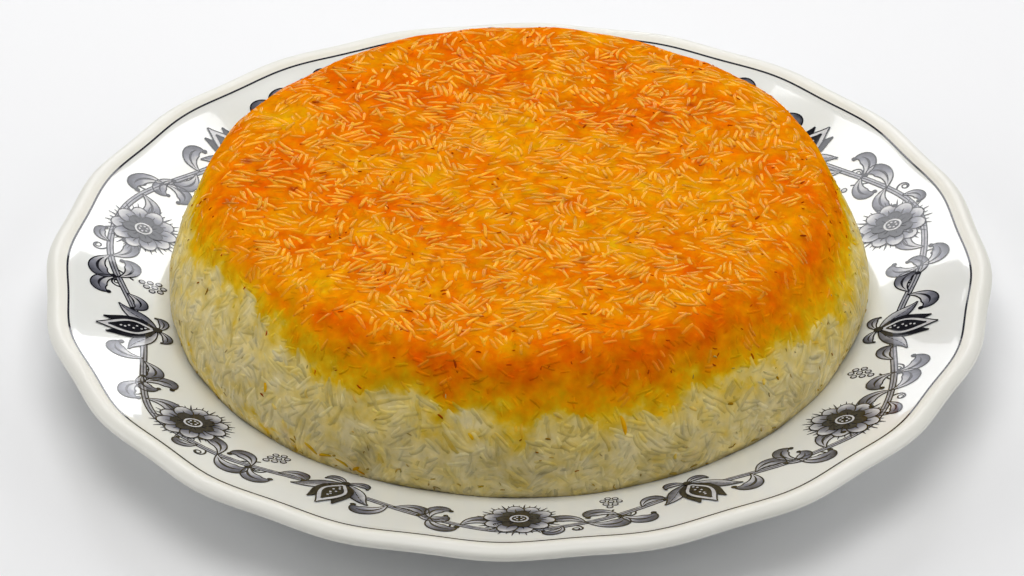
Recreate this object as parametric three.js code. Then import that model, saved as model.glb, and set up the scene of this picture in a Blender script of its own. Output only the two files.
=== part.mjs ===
// A moulded rice cake with a saffron crust, turned out upside down on its round china plate.
// Millimetres, +Z up. The origin is on the table, under the middle of the plate.
// Angles run anticlockwise from +X, seen from above; the front of the cake is at 270 degrees.

import * as THREE from 'three';

// Plate: outline of half its section, from the well out to the lip and back under the foot.
const rimRadius = 148.9;
const lipWidth = 6.5;
const lipHeight = 4;
const lipCentreHeight = 24;
const wellRadius = 88;
const wellHeight = 5.6;
const flangeStart = 108;
const flangeStartHeight = 12.85;
const flangeSlope = 0.35;
const flangeThickness = 4.6;
const footOuterRadius = 93;
const footInnerRadius = 87;
const footWidth = 4;
const footChamfer = 1;
const footChamferHeight = 0.6;
const footFilletReach = 4;
const footFilletHeight = 3;
const recessHeight = 1.8;
const coveShare = 0.45;
const lipCurlStart = THREE.MathUtils.degToRad(130);
const lipCurlEnd = THREE.MathUtils.degToRad(-90);
const undersideInset = 3;
const undersideRoot = 4;
const undersideRootThickness = 5.06;

// Plate: the rim's shallow scallops, which fade out towards the cake.
const lobeCount = 20;
const lobeDepth = 0.65;
const firstLobeAngle = THREE.MathUtils.degToRad(15.63);
const lobeFadeStart = 118;
const lobeFadeEnd = 142;

// Cake: outline of its wall, which leans in towards the crust and tucks in at the plate.
const cakeOffset = 3.6;
const cakeTopHeight = 54.5;
const crustFlatRadius = 88.6;
const shoulderRadius = 12.8;
const wallDraft = THREE.MathUtils.degToRad(25.5);
const bellyRadius = 111;
const bellyHeight = 21;
const baseRadius = 109.6;
const baseHeight = 11;
const shoulderPull = 0.4;
const bellyPull = 0.7;

// Cake: where the saffron rice meets the white rice at the wall.
const saffronHeight = 36.8;
const saffronRise = 9;
const saffronRiseAngle = THREE.MathUtils.degToRad(208);
const saffronRiseNarrowness = 6;
const saffronBackRise = 3.5;
const saffronBackAngle = THREE.MathUtils.degToRad(70);
const saffronBackNarrowness = 3;

// Cake: waves that make it uneven. Each has its size, its turns per unit of two places (the angle
// and the height on the wall, X and Y on the crust) and its phase.
const edgeWaves = [[0.9, 7, 0, 1.1], [0.6, 13, 0, 0.4]];
const wallWaves = [[0.35, 5, 0.11, 0], [0.25, 9, 0, 2.3], [0.2, 23, -0.35, 0]];
const crustWaves = [[0.15, 0.071, 0.083, 1.3], [0.15, 0.071, -0.083, 1.3], [0.2, 0.13, -0.11, 0]];

// Pieces that touch keep this gap, so that neither cuts into the other.
const gap = 0.3;

// Fineness of the turned bodies.
const plateSegments = 100;
const riceSegments = 66;
const sectionSteps = 5;
const wallSteps = 40;
const whiteLevels = [0, 0.2, 0.4, 0.6, 0.8, 1];
const saffronLevels = [0, 0.2225, 0.4339, 0.6235, 0.7818, 0.901, 0.9749, 1];
const layerRings = [0, 0.3, 0.55, 0.75, 0.85, 0.93];
const footTurns = 4;

// A plate-section line: well, flange, rounded lip, underside, foot ring and recess.
function plateSection() {
  const lipInner = rimRadius - lipWidth;
  const lipCentre = rimRadius - lipWidth / 2;
  const cove = (flangeStart - wellRadius) * coveShare;
  const flangeHeight = (radius) => flangeStartHeight + flangeSlope * (radius - flangeStart);
  const underOuter = lipInner - undersideInset;
  const underInner = flangeStart + undersideRoot;
  const section = new THREE.Path();
  section.moveTo(0, wellHeight);
  section.lineTo(wellRadius, wellHeight);
  section.bezierCurveTo(
    wellRadius + cove, wellHeight,
    flangeStart - cove, flangeStartHeight - flangeSlope * cove,
    flangeStart, flangeStartHeight,
  );
  section.lineTo(lipInner, flangeHeight(lipInner));
  section.absellipse(
    lipCentre, lipCentreHeight, lipWidth / 2, lipHeight / 2,
    lipCurlStart, lipCurlEnd, true,
  );
  section.lineTo(underOuter, flangeHeight(underOuter) - flangeThickness);
  section.lineTo(underInner, flangeHeight(underInner) - undersideRootThickness);
  section.lineTo(footOuterRadius + footFilletReach, footFilletHeight);
  section.lineTo(footOuterRadius, footChamferHeight);
  section.lineTo(footOuterRadius - footChamfer, 0);
  section.lineTo(footOuterRadius - footChamfer - footWidth, 0);
  section.lineTo(footInnerRadius, recessHeight);
  section.lineTo(0, recessHeight);
  return section;
}

// The cake's wall, from its foot on the plate to the edge of the flat crust.
function wallCurve() {
  const shoulderTopHeight = cakeTopHeight - shoulderRadius;
  const shoulderFoot = new THREE.Vector2(
    crustFlatRadius + shoulderRadius * Math.cos(wallDraft),
    shoulderTopHeight + shoulderRadius * Math.sin(wallDraft),
  );
  const lean = (shoulderFoot.y - bellyHeight) * shoulderPull;
  const wall = new THREE.Path();
  wall.moveTo(baseRadius, baseHeight);
  wall.quadraticCurveTo(bellyRadius, (baseHeight + bellyHeight) / 2, bellyRadius, bellyHeight);
  wall.bezierCurveTo(
    bellyRadius, bellyHeight + lean * bellyPull,
    shoulderFoot.x + lean * Math.tan(wallDraft), shoulderFoot.y - lean,
    shoulderFoot.x, shoulderFoot.y,
  );
  wall.absarc(crustFlatRadius, shoulderTopHeight, shoulderRadius, wallDraft, Math.PI / 2, false);
  return wall;
}

// Radius of the wall at a height, read off the wall's curve.
function makeWallRadius() {
  const points = wallCurve().getPoints(wallSteps);
  return (height) => {
    const above = points.findIndex((point) => point.y > height);
    if (above === 0) return points[0].x;
    if (above < 0) return crustFlatRadius;
    const low = points[above - 1];
    const high = points[above];
    return THREE.MathUtils.mapLinear(height, low.y, high.y, low.x, high.x);
  };
}

// Height of the plate's upper side, at a distance from the middle of the plate.
function makePlateHeight() {
  const points = plateSection().getPoints(sectionSteps);
  return (radius) => {
    const beyond = points.findIndex((point) => point.x >= radius);
    const inner = points[Math.max(beyond - 1, 0)];
    const outer = points[beyond];
    if (outer.x === inner.x) return outer.y;
    return THREE.MathUtils.mapLinear(radius, inner.x, outer.x, inner.y, outer.y);
  };
}

// How far the scalloped outline stands out of the round one, from 1 to -1.
function lobe(angle) {
  return Math.cos(lobeCount * (angle - firstLobeAngle));
}

// Sum of the waves at a pair of places.
function waveSum(waves, first, second) {
  let total = 0;
  for (const [size, perFirst, perSecond, phase] of waves) {
    total += size * Math.sin(perFirst * first + perSecond * second + phase);
  }
  return total;
}

// A soft bump of height 1 at an angle, narrower as narrowness grows.
function bump(angle, centre, narrowness) {
  return ((1 + Math.cos(angle - centre)) / 2) ** narrowness;
}

// Height of the layers' meeting, ragged at the wall and level in the middle of the cake.
function layerHeight(angle, outwards) {
  const rise = saffronRise * bump(angle, saffronRiseAngle, saffronRiseNarrowness);
  const backRise = saffronBackRise * bump(angle, saffronBackAngle, saffronBackNarrowness);
  const ragged = waveSum(edgeWaves, angle, 0);
  return saffronHeight + (rise + backRise + ragged) * outwards ** 3;
}

// Radius of the cake's skin of pressed grains at an angle and a height.
function makeSkinRadius() {
  const wallRadius = makeWallRadius();
  return (angle, height) => wallRadius(height) + waveSum(wallWaves, angle, height);
}

// A body turned about the Z axis, whose points are then moved by a function.
function turnedBody(profile, segments, place) {
  const body = new THREE.LatheGeometry(profile, segments);
  body.rotateX(Math.PI / 2);
  const position = body.attributes.position;
  const point = new THREE.Vector3();
  for (let i = 0; i < position.count; i += 1) {
    point.fromBufferAttribute(position, i);
    const radius = Math.hypot(point.x, point.y);
    const angle = Math.atan2(point.y, point.x);
    place(point, radius, angle);
    position.setXYZ(i, point.x, point.y, point.z);
  }
  body.computeVertexNormals();
  return body;
}

function plateGeometry() {
  const outline = plateSection().getPoints(sectionSteps);
  outline.reverse();
  return turnedBody(outline, plateSegments, (point, radius, angle) => {
    const fade = THREE.MathUtils.smoothstep(radius, lobeFadeStart, lobeFadeEnd);
    const stretch = 1 + (lobeDepth * fade * lobe(angle)) / rimRadius;
    point.x *= stretch;
    point.y *= stretch;
  });
}

// One layer of the cake. Its unit profile holds the distance outwards as x and the level as y,
// and both run from 0 to 1: from the axis to the wall, and from the layer's underside to its top.
function layerGeometry(lower, upper, levels) {
  const skinRadius = makeSkinRadius();
  const profile = [];
  for (const x of layerRings) profile.push(new THREE.Vector2(x, 0));
  for (const y of levels) profile.push(new THREE.Vector2(1, y));
  for (const x of layerRings.toReversed()) profile.push(new THREE.Vector2(x, 1));
  return turnedBody(profile, riceSegments, (point, outwards, angle) => {
    const level = point.z;
    const low = lower(angle, outwards);
    const high = upper(angle, outwards);
    const height = THREE.MathUtils.lerp(low, high, level);
    const radius = outwards * skinRadius(angle, height);
    point.set(radius * Math.cos(angle), radius * Math.sin(angle) + cakeOffset, height);
  });
}

// White rice rests on the plate all over, so its underside repeats the plate's upper side. The
// wall's radius depends on the height that it starts from, so the two are found by turns.
function whiteRiceGeometry() {
  const plateHeight = makePlateHeight();
  const skinRadius = makeSkinRadius();
  const lower = (angle, outwards) => {
    let height = baseHeight;
    for (let turn = 0; turn < footTurns; turn += 1) {
      const reach = outwards * skinRadius(angle, height);
      const distance = Math.hypot(reach * Math.cos(angle), reach * Math.sin(angle) + cakeOffset);
      height = plateHeight(distance) + gap;
    }
    return height;
  };
  const upper = (angle, outwards) => layerHeight(angle, outwards) - gap / 2;
  return layerGeometry(lower, upper, whiteLevels);
}

// Saffron rice caps the white rice, and its top is the flat crust.
function saffronRiceGeometry() {
  const lower = (angle, outwards) => layerHeight(angle, outwards) + gap / 2;
  const upper = (angle, outwards) => {
    const reach = crustFlatRadius * outwards;
    const relief = waveSum(crustWaves, reach * Math.cos(angle), reach * Math.sin(angle));
    return cakeTopHeight + relief * (1 - outwards ** 6);
  };
  return layerGeometry(lower, upper, saffronLevels);
}

function namedMesh(name, geometry, color, roughness) {
  const material = new THREE.MeshStandardMaterial({ color, roughness, metalness: 0 });
  const mesh = new THREE.Mesh(geometry, material);
  mesh.name = name;
  return mesh;
}

const plateOfRice = new THREE.Group();
plateOfRice.add(namedMesh('plate', plateGeometry(), 0xf1f0ea, 0.12));
plateOfRice.add(namedMesh('white_rice', whiteRiceGeometry(), 0xd6cfb0, 0.5));
plateOfRice.add(namedMesh('saffron_rice', saffronRiceGeometry(), 0xf08a10, 0.35));

export default plateOfRice;
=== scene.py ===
import bpy
import math
import numpy as np
from mathutils import Matrix, Vector


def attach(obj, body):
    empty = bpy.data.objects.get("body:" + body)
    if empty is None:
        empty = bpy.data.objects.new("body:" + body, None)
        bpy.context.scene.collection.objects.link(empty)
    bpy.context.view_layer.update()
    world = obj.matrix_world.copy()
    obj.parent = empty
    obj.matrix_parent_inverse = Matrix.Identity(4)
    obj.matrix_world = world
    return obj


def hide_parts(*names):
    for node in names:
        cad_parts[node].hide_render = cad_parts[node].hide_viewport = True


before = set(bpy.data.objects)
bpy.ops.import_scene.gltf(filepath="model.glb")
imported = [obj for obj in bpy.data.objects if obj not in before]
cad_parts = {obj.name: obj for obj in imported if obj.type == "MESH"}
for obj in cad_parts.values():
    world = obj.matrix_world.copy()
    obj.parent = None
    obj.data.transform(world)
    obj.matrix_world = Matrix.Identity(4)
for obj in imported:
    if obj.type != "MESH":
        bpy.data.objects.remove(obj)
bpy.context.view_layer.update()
print("frame loaded:", sorted(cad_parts))

# Sizes below are in millimetres and angles in degrees. mm turns them into Blender's metres.
mm = 0.001
dice = np.random.default_rng(20)  # every random draw comes from here, so each run gives the same plate


# selecting, and reading and writing vertices

def deselectAll():
    if bpy.context.object and bpy.context.object.mode != "OBJECT":
        bpy.ops.object.mode_set(mode="OBJECT")
    bpy.ops.object.select_all(action="DESELECT")


def pick(obj):
    deselectAll()
    obj.select_set(True)
    bpy.context.view_layer.objects.active = obj


def pointsOf(obj):
    places = np.empty(len(obj.data.vertices) * 3, np.float32)
    obj.data.vertices.foreach_get("co", places)
    return places.reshape(-1, 3).astype(float)


def setPoints(obj, places):
    obj.data.vertices.foreach_set("co", places.astype(np.float32).ravel())
    obj.data.update()


def setMasks(obj, name, masks):
    # up to four masks for each vertex, which the materials read back as a colour and its alpha
    full = np.zeros((len(masks), 4), np.float32)
    full[:, :masks.shape[1]] = masks
    layer = obj.data.color_attributes.new(name=name, type="FLOAT_COLOR", domain="POINT")
    layer.data.foreach_set("color", full.ravel())


def smoothShade(obj, sharpAngle):
    pick(obj)
    bpy.ops.object.shade_smooth_by_angle(angle=math.radians(sharpAngle))


def meshFromArrays(name, places, faces):
    mesh = bpy.data.meshes.new(name)
    mesh.from_pydata((places * mm).tolist(), [], faces)
    mesh.validate()
    obj = bpy.data.objects.new(name, mesh)
    bpy.context.scene.collection.objects.link(obj)
    return obj


def spunBody(name, outline, steps):
    # one vertex is extruded along the outline in the XZ plane, and the line is spun about Z
    deselectAll()
    bpy.ops.mesh.primitive_plane_add(size=1, location=(0, 0, 0))
    body = bpy.context.object
    body.name = name
    body.data.name = name
    bpy.ops.object.mode_set(mode="EDIT")
    bpy.ops.mesh.select_mode(type="VERT")
    bpy.ops.mesh.select_all(action="SELECT")
    bpy.ops.mesh.merge(type="CENTER")
    bpy.ops.mesh.select_all(action="SELECT")
    bpy.ops.transform.translate(value=(outline[0][0], 0, outline[0][1]))
    for last, this in zip(outline, outline[1:]):
        step = (this[0] - last[0], 0, this[1] - last[1])
        bpy.ops.mesh.extrude_region_move(TRANSFORM_OT_translate={"value": step})
    bpy.ops.mesh.select_all(action="SELECT")
    bpy.ops.mesh.spin(steps=steps, angle=2 * math.pi, center=(0, 0, 0), axis=(0, 0, 1))
    bpy.ops.mesh.select_all(action="SELECT")
    bpy.ops.mesh.remove_doubles(threshold=1e-5)
    bpy.ops.mesh.normals_make_consistent(inside=False)
    bpy.ops.object.mode_set(mode="OBJECT")
    return body


def smoothStep(low, high, value):
    t = np.clip((value - low) / (high - low), 0, 1)  # low may also be the higher one
    return t * t * (3 - 2 * t)


def bezierPoints(start, startPull, endPull, end, count):
    t = np.linspace(0, 1, count)[:, None]
    curve = (1 - t) ** 3 * np.array(start) + 3 * (1 - t) ** 2 * t * np.array(startPull)
    return curve + 3 * (1 - t) * t ** 2 * np.array(endPull) + t ** 3 * np.array(end)


def arcPoints(centre, across, up, fromAngle, toAngle, count):
    angle = np.radians(np.linspace(fromAngle, toAngle, count))
    return np.stack([centre[0] + across * np.cos(angle), centre[1] + up * np.sin(angle)], axis=1)


def waves(places, size, seed):
    # soft noise between about -1 and 1, with hills of the given size
    chance = np.random.default_rng(seed)
    total = np.zeros(len(places))
    for _ in range(14):
        direction = chance.normal(size=places.shape[1])
        direction *= chance.uniform(0.6, 1.5) / np.linalg.norm(direction)
        total += np.sin(places @ direction * (math.pi / size) + chance.uniform(0, 2 * math.pi))
    return total / math.sqrt(14)


# camera, light and floor

cameraSet = {
    "distance": 1106.58,
    "elevation": 35.08,
    "pan": -0.10,
    "tilt": 0.60,
    "roll": -0.30,
    "lensPixels": 3448.8,   # focal length in pixels of the photo
    "photoWidth": 1024,
    "sensorWidth": 36,
}


def makeCamera(opts):
    pan = math.radians(opts["pan"])
    tilt = math.radians(opts["tilt"])
    roll = math.radians(opts["roll"])
    elevation = math.radians(opts["elevation"])
    place = Vector((0, -math.cos(elevation), math.sin(elevation))) * opts["distance"] * mm
    ahead = -place.normalized()
    right = Vector((1, 0, 0))
    up = right.cross(ahead)
    ahead = ahead * math.cos(pan) * math.cos(tilt) + right * math.sin(pan) * math.cos(tilt) + up * math.sin(tilt)
    right = ahead.cross(up).normalized()
    up = right.cross(ahead)
    right = right * math.cos(roll) + up * math.sin(roll)
    up = right.cross(ahead)
    data = bpy.data.cameras.new("camera")
    data.sensor_fit = "HORIZONTAL"
    data.sensor_width = opts["sensorWidth"]
    data.lens = opts["lensPixels"] * opts["sensorWidth"] / opts["photoWidth"]
    data.clip_start = 0.05
    data.clip_end = 20
    camera = bpy.data.objects.new("camera", data)
    bpy.context.scene.collection.objects.link(camera)
    turn = Matrix((right, up, -ahead)).transposed()
    camera.matrix_world = Matrix.Translation(place) @ turn.to_4x4()
    bpy.context.scene.camera = camera


lightSet = {
    "key": {"place": (0, -75, 1400), "size": (1100, 1100), "power": 11.6, "tint": (1.0, 0.995, 0.98)},
    "front": {"place": (0, -600, 1200), "size": (700, 700), "power": 0.4, "tint": (1.0, 0.995, 0.98)},
    "left": {"place": (-1150, 0, 600), "size": (700, 700), "power": 4.4, "tint": (1.0, 1.0, 1.0)},
    "right": {"place": (1500, -200, 800), "size": (1300, 1300), "power": 8.8, "tint": (1.0, 1.0, 1.0)},
    # two slim boxes behind the plate, whose reflections lie on its flange
    "backLeft": {"place": (-255, 880, 620), "size": (190, 780), "power": 2.2, "tint": (0.96, 0.97, 1.0),
                 "roll": 17},
    "backRight": {"place": (255, 880, 620), "size": (190, 780), "power": 2.2, "tint": (0.96, 0.97, 1.0),
                  "roll": -17},
    "lowLeft": {"place": (-85, 1060, 345), "size": (120, 270), "power": 0.22, "tint": (0.96, 0.97, 1.0)},
    "lowRight": {"place": (85, 1060, 345), "size": (120, 270), "power": 0.48, "tint": (0.96, 0.97, 1.0)},
    "skyStrength": 0.05,
    "skyTint": (1.0, 1.0, 1.0),
}


def makeLamp(name, opts):
    data = bpy.data.lights.new(name, "AREA")
    data.shape = "RECTANGLE"
    data.size = opts["size"][0] * mm
    data.size_y = opts["size"][1] * mm
    data.energy = opts["power"]
    data.color = opts["tint"]
    lamp = bpy.data.objects.new(name, data)
    bpy.context.scene.collection.objects.link(lamp)
    place = Vector(opts["place"]) * mm
    turn = place.to_track_quat("Z", "Y").to_matrix().to_4x4()
    roll = Matrix.Rotation(math.radians(opts.get("roll", 0)), 4, "Z")
    lamp.matrix_world = Matrix.Translation(place) @ turn @ roll


def makeSky(opts):
    world = bpy.data.worlds.new("studio")
    bpy.context.scene.world = world
    world.use_nodes = True
    background = world.node_tree.nodes["Background"]
    background.inputs["Color"].default_value = (*opts["skyTint"], 1)
    background.inputs["Strength"].default_value = opts["skyStrength"]


floorSet = {"size": 6000, "colour": (0.898, 0.898, 0.906), "roughness": 0.75}


def makeFloor(opts):
    deselectAll()
    bpy.ops.mesh.primitive_plane_add(size=opts["size"] * mm, location=(0, 0, 0))
    floor = bpy.context.object
    floor.name = "floor"
    material, tree, shader = newMaterial("paleFloor")
    shader.inputs["Base Color"].default_value = (*opts["colour"], 1)
    shader.inputs["Roughness"].default_value = opts["roughness"]
    shader.inputs["Specular IOR Level"].default_value = 0.2
    floor.data.materials.append(material)


# materials

def newMaterial(name):
    material = bpy.data.materials.new(name)
    material.use_nodes = True
    tree = material.node_tree
    return material, tree, tree.nodes["Principled BSDF"]


def addNode(tree, kind, settings=None, values=None):
    node = tree.nodes.new(kind)
    for key, value in (settings or {}).items():
        setattr(node, key, value)
    for key, value in (values or {}).items():
        node.inputs[key].default_value = value
    return node


def setRamp(node, stops):
    ramp = node.color_ramp
    while len(ramp.elements) > 1:
        ramp.elements.remove(ramp.elements[-1])
    ramp.elements[0].position = stops[0][0]
    ramp.elements[0].color = (*stops[0][1], 1)
    for place, colour in stops[1:]:
        ramp.elements.new(place).color = (*colour, 1)


riceColours = {
    # how much saffron a grain has taken up, from none to all
    "stops": [
        (0.00, (0.830, 0.695, 0.362)),
        (0.08, (0.810, 0.628, 0.205)),
        (0.16, (0.780, 0.525, 0.055)),
        (0.22, (0.770, 0.460, 0.010)),
        (0.32, (0.775, 0.365, 0.003)),
        (0.42, (0.830, 0.322, 0.002)),
        (0.55, (0.820, 0.266, 0.0015)),
        (0.70, (0.810, 0.203, 0.001)),
        (0.85, (0.800, 0.150, 0.001)),
        (1.00, (0.770, 0.108, 0.001)),
    ],
    "toast": (0.400, 0.048, 0.003),
    # colour of the painted highlight on the tops of grains
    "pale": (1.0, 0.425, 0.016),
    "unevenness": 0.155,
    "whiteUnevenness": 0.25,
    "hillsPerMetre": 230,
    "cloudsPerMetre": 290,
    "cloudDarkest": 0.87,
    "cloudLightest": 1.11,
    "chanceDarkest": 0.42,
    "chanceLightest": 1.09,
}


def makeRiceColourGroup(opts):
    # Stain is the saffron taken up, Toast the browning, the third input each grain's own lightness less the painted
    # shade of flanks, hollows and foot, the fourth a painted highlight on the top of a grain
    group = bpy.data.node_groups.new("riceColour", "ShaderNodeTree")
    for name in ("Stain", "Toast", "LightnessAndShade", "PaintedHighlight"):
        group.interface.new_socket(name=name, in_out="INPUT", socket_type="NodeSocketFloat")
    group.interface.new_socket(name="Color", in_out="OUTPUT", socket_type="NodeSocketColor")
    entry = group.nodes.new("NodeGroupInput")
    leave = group.nodes.new("NodeGroupOutput")
    coordinates = addNode(group, "ShaderNodeTexCoord")
    hills = addNode(group, "ShaderNodeTexNoise", values={"Scale": opts["hillsPerMetre"], "Detail": 3,
                                                              "Roughness": 0.64})
    clouds = addNode(group, "ShaderNodeTexNoise", {"noise_dimensions": "4D"}, {
        "Scale": opts["cloudsPerMetre"], "Detail": 2, "W": 3.7})
    cloud = addNode(group, "ShaderNodeMapRange", values={
        "From Min": 0.3, "From Max": 0.7, "To Min": opts["cloudDarkest"], "To Max": opts["cloudLightest"]})
    clouded = addNode(group, "ShaderNodeMath", {"operation": "MULTIPLY"})
    shift = addNode(group, "ShaderNodeMapRange", values={
        "From Min": 0.3, "From Max": 0.7, "To Min": -opts["unevenness"], "To Max": opts["unevenness"]})
    strength = addNode(group, "ShaderNodeMath", {"operation": "MULTIPLY"})
    saffronOnly = addNode(group, "ShaderNodeMapRange", values={
        "From Min": 0.12, "From Max": 0.42, "To Min": opts["whiteUnevenness"]})
    total = addNode(group, "ShaderNodeMath", {"operation": "ADD", "use_clamp": True})
    ramp = addNode(group, "ShaderNodeValToRGB")
    setRamp(ramp, opts["stops"])
    lightness = addNode(group, "ShaderNodeMapRange", values={
        "To Min": opts["chanceDarkest"], "To Max": opts["chanceLightest"]})
    tinted = addNode(group, "ShaderNodeVectorMath", {"operation": "SCALE"})
    # the painted highlight is mixed over the saffron colour on the top of each grain
    highlighted = addNode(group, "ShaderNodeMix", {"data_type": "RGBA"})
    highlighted.inputs["B"].default_value = (*opts["pale"], 1)
    browned = addNode(group, "ShaderNodeMix", {"data_type": "RGBA"})
    browned.inputs["B"].default_value = (*opts["toast"], 1)
    link = group.links.new
    link(coordinates.outputs["Object"], hills.inputs["Vector"])
    link(hills.outputs["Fac"], shift.inputs["Value"])
    link(entry.outputs["Stain"], saffronOnly.inputs["Value"])
    link(shift.outputs["Result"], strength.inputs[0])
    link(saffronOnly.outputs["Result"], strength.inputs[1])
    link(entry.outputs["Stain"], total.inputs[0])
    link(strength.outputs["Value"], total.inputs[1])
    link(total.outputs["Value"], ramp.inputs["Fac"])
    link(entry.outputs["LightnessAndShade"], lightness.inputs["Value"])
    link(coordinates.outputs["Object"], clouds.inputs["Vector"])
    link(clouds.outputs["Fac"], cloud.inputs["Value"])
    link(cloud.outputs["Result"], clouded.inputs[0])
    link(lightness.outputs["Result"], clouded.inputs[1])
    link(clouded.outputs["Value"], tinted.inputs["Scale"])
    link(entry.outputs["PaintedHighlight"], highlighted.inputs["Factor"])
    link(ramp.outputs["Color"], highlighted.inputs["A"])
    link(entry.outputs["Toast"], browned.inputs["Factor"])
    link(highlighted.outputs["Result"], browned.inputs["A"])
    link(browned.outputs["Result"], tinted.inputs[0])
    link(tinted.outputs["Vector"], leave.inputs["Color"])
    return group


riceFinishes = {
    "crustGlaze": {"roughness": 0.36, "specular": 0.0, "scatter": 0.30, "scatterDepth": 0.7,
                   "scatterTint": (1.0, 0.35, 0.05), "bump": 0.3},
    "crustGrain": {"roughness": 0.26, "specular": 0.085, "scatter": 0.25, "scatterDepth": 0.6,
                   "scatterTint": (1.0, 0.35, 0.05), "bump": 0.25},
    "whiteRiceSatin": {"roughness": 0.42, "specular": 0.17, "scatter": 0.35, "scatterDepth": 0.6,
                       "scatterTint": (1.0, 0.85, 0.60), "bump": 0.12},
    # under the grains the two layers are dull and alike, so that their seam stays hidden
    "crustBed": {"roughness": 0.5, "specular": 0.0, "scatter": 0.0, "scatterDepth": 0.5,
                 "scatterTint": (1.0, 0.35, 0.05), "bump": 0.3},
    "whiteBed": {"roughness": 0.5, "specular": 0.0, "scatter": 0.0, "scatterDepth": 0.5,
                 "scatterTint": (1.0, 0.85, 0.60), "bump": 0.3},
}


def makeRiceMaterial(name, opts, colourGroup):
    material, tree, shader = newMaterial(name)
    link = tree.links.new
    masks = addNode(tree, "ShaderNodeAttribute", {"attribute_name": "stain"})
    split = addNode(tree, "ShaderNodeSeparateColor")
    colour = addNode(tree, "ShaderNodeGroup", {"node_tree": colourGroup})
    coordinates = addNode(tree, "ShaderNodeTexCoord")
    pores = addNode(tree, "ShaderNodeTexNoise", values={"Scale": 900, "Detail": 2})
    wetness = addNode(tree, "ShaderNodeTexNoise", values={"Scale": 120, "Detail": 2})
    gloss = addNode(tree, "ShaderNodeMapRange", values={
        "From Min": 0.3, "From Max": 0.7,
        "To Min": opts["roughness"] - 0.08, "To Max": opts["roughness"] + 0.08})
    bump = addNode(tree, "ShaderNodeBump", values={"Strength": opts["bump"], "Distance": 0.12 * mm})
    link(masks.outputs["Color"], split.inputs["Color"])
    link(split.outputs["Red"], colour.inputs["Stain"])
    link(split.outputs["Green"], colour.inputs["Toast"])
    link(split.outputs["Blue"], colour.inputs["LightnessAndShade"])
    link(masks.outputs["Alpha"], colour.inputs["PaintedHighlight"])
    link(colour.outputs["Color"], shader.inputs["Base Color"])
    link(coordinates.outputs["Object"], pores.inputs["Vector"])
    link(coordinates.outputs["Object"], wetness.inputs["Vector"])
    link(wetness.outputs["Fac"], gloss.inputs["Value"])
    link(gloss.outputs["Result"], shader.inputs["Roughness"])
    link(pores.outputs["Fac"], bump.inputs["Height"])
    link(bump.outputs["Normal"], shader.inputs["Normal"])
    shader.inputs["Specular IOR Level"].default_value = opts["specular"]
    shader.inputs["Subsurface Weight"].default_value = opts["scatter"]
    shader.inputs["Subsurface Radius"].default_value = opts["scatterTint"]
    shader.inputs["Subsurface Scale"].default_value = opts["scatterDepth"] * mm
    return material


chinaFinish = {
    "colour": (0.845, 0.868, 0.862),
    "colourThick": (0.820, 0.840, 0.826),
    "roughness": 0.18,
    "coat": 0.8,
    "coatRoughness": 0.03,
    "ripple": 0.35,
}
lipFinish = {**chinaFinish, "colour": (0.825, 0.815, 0.755), "colourThick": (0.80, 0.79, 0.72),
             "roughness": 0.42, "coat": 0.22, "coatRoughness": 0.25}


def makeChinaMaterial(name, opts):
    material, tree, shader = newMaterial(name)
    link = tree.links.new
    coordinates = addNode(tree, "ShaderNodeTexCoord")
    clouds = addNode(tree, "ShaderNodeTexNoise", values={"Scale": 28, "Detail": 3})
    tone = addNode(tree, "ShaderNodeValToRGB")
    setRamp(tone, [(0.35, opts["colourThick"]), (0.65, opts["colour"])])
    ripple = addNode(tree, "ShaderNodeTexNoise", values={"Scale": 24, "Detail": 1})
    bump = addNode(tree, "ShaderNodeBump", values={"Strength": 1.0, "Distance": opts["ripple"] * mm})
    link(coordinates.outputs["Object"], clouds.inputs["Vector"])
    link(coordinates.outputs["Object"], ripple.inputs["Vector"])
    link(clouds.outputs["Fac"], tone.inputs["Fac"])
    link(tone.outputs["Color"], shader.inputs["Base Color"])
    link(ripple.outputs["Fac"], bump.inputs["Height"])
    link(bump.outputs["Normal"], shader.inputs["Normal"])
    shader.inputs["Roughness"].default_value = opts["roughness"]
    shader.inputs["Coat Weight"].default_value = opts["coat"]
    shader.inputs["Coat Roughness"].default_value = opts["coatRoughness"]
    return material


inkFinish = {
    "stops": [(0.0, (0.006, 0.006, 0.010)), (0.35, (0.042, 0.044, 0.060)), (0.7, (0.225, 0.232, 0.285)),
              (1.0, (0.620, 0.625, 0.650))],
    "roughness": 0.4,
    "coat": 0.85,
    "coatRoughness": 0.04,
}


def makeInkMaterial(opts):
    material, tree, shader = newMaterial("borderInk")
    link = tree.links.new
    masks = addNode(tree, "ShaderNodeAttribute", {"attribute_name": "tone"})
    split = addNode(tree, "ShaderNodeSeparateColor")
    coordinates = addNode(tree, "ShaderNodeTexCoord")
    patchy = addNode(tree, "ShaderNodeTexNoise", values={"Scale": 420, "Detail": 3})
    uneven = addNode(tree, "ShaderNodeMapRange", values={
        "From Min": 0.3, "From Max": 0.7, "To Min": -0.07, "To Max": 0.07})
    total = addNode(tree, "ShaderNodeMath", {"operation": "ADD", "use_clamp": True})
    ramp = addNode(tree, "ShaderNodeValToRGB")
    setRamp(ramp, opts["stops"])
    link(masks.outputs["Color"], split.inputs["Color"])
    link(coordinates.outputs["Object"], patchy.inputs["Vector"])
    link(patchy.outputs["Fac"], uneven.inputs["Value"])
    link(split.outputs["Red"], total.inputs[0])
    link(uneven.outputs["Result"], total.inputs[1])
    link(total.outputs["Value"], ramp.inputs["Fac"])
    link(ramp.outputs["Color"], shader.inputs["Base Color"])
    shader.inputs["Roughness"].default_value = opts["roughness"]
    shader.inputs["Specular IOR Level"].default_value = 0
    shader.inputs["Coat Weight"].default_value = opts["coat"]
    shader.inputs["Coat Roughness"].default_value = opts["coatRoughness"]
    return material


# the plate

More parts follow.
